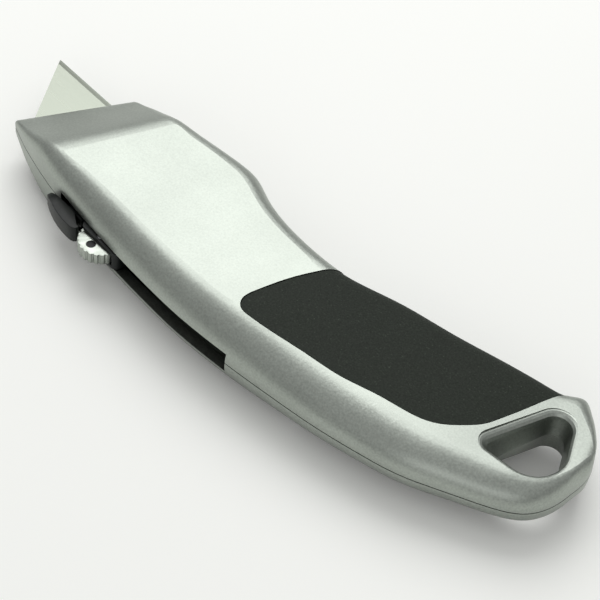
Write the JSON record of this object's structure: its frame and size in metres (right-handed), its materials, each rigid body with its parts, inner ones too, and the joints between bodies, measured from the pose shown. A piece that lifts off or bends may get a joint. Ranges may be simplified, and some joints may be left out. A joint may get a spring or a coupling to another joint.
{
  "type": "utility knife",
  "caption": "Retractable utility knife with cast half shells, rubber grip inlays, thumb slide, ribbed thumb wheel, trapezoid blade and hang hole.",
  "frame": {"origin": "on the flat left side face, level with the blade's centre line, 80 mm behind the blade's tip", "axes": "+X towards the blade's tip, +Y towards the thumb slide, +Z from the flat left side to the right side"},
  "size_m": [0.1651, 0.0566, 0.018],
  "materials": {
    "cast_metal": "satin die-cast",
    "grip_rubber": "matte, fine grain",
    "black_plastic": "fine moulded texture",
    "wheel_metal": "satin",
    "blade_steel": "ground along the length",
    "plain_steel": "plain zinc plated"
  },
  "bodies": {
    "frame": {"left_shell": "cast_metal", "left_grip": "grip_rubber", "nose_dowel": "plain_steel", "guard_dowel": "plain_steel", "tail_dowel": "plain_steel"},
    "cover": {"right_shell": "cast_metal", "right_grip": "grip_rubber", "magazine_spring": "plain_steel", "magazine_rivet": "plain_steel", "spare_blade_1": "blade_steel", "spare_blade_2": "blade_steel", "spare_blade_3": "blade_steel"},
    "slider": {"blade_carrier": "plain_steel", "slider_block": "black_plastic", "block_rivets": "plain_steel", "utility_blade": "blade_steel", "detent_spring": "plain_steel", "leaf_rivet": "plain_steel", "button_spring": "plain_steel", "wheel_axle": "plain_steel"},
    "button": {"thumb_button": "black_plastic"},
    "wheel": {"lock_wheel": "wheel_metal"},
    "screw": {"body_screw": "plain_steel"}
  },
  "joints": [
    {"name": "blade_slide", "type": "slide", "parent": "frame", "child": "slider", "axis": [-1, 0, 0], "range_m": [0, 0.034], "deforming": ["detent_spring"]},
    {"name": "button_press", "type": "slide", "parent": "slider", "child": "button", "axis": [0, -1, 0], "range_m": [0, 0.0005], "stiffness_N_per_m": 800, "deforming": ["button_spring"]},
    {"name": "wheel_turn", "type": "hinge", "parent": "slider", "child": "wheel", "pos_m": [0.0252, 0.0199, 0.009], "axis": [0, 0, 1], "continuous": true},
    {"name": "screw_turn", "type": "hinge", "parent": "frame", "child": "screw", "pos_m": [-0.033, 0.0126, 0.009], "axis": [0, 0, 1], "continuous": true},
    {"name": "cover_lift", "type": "slide", "parent": "frame", "child": "cover", "axis": [0, 0, 1], "range_m": [0, 0.02]}
  ]
}
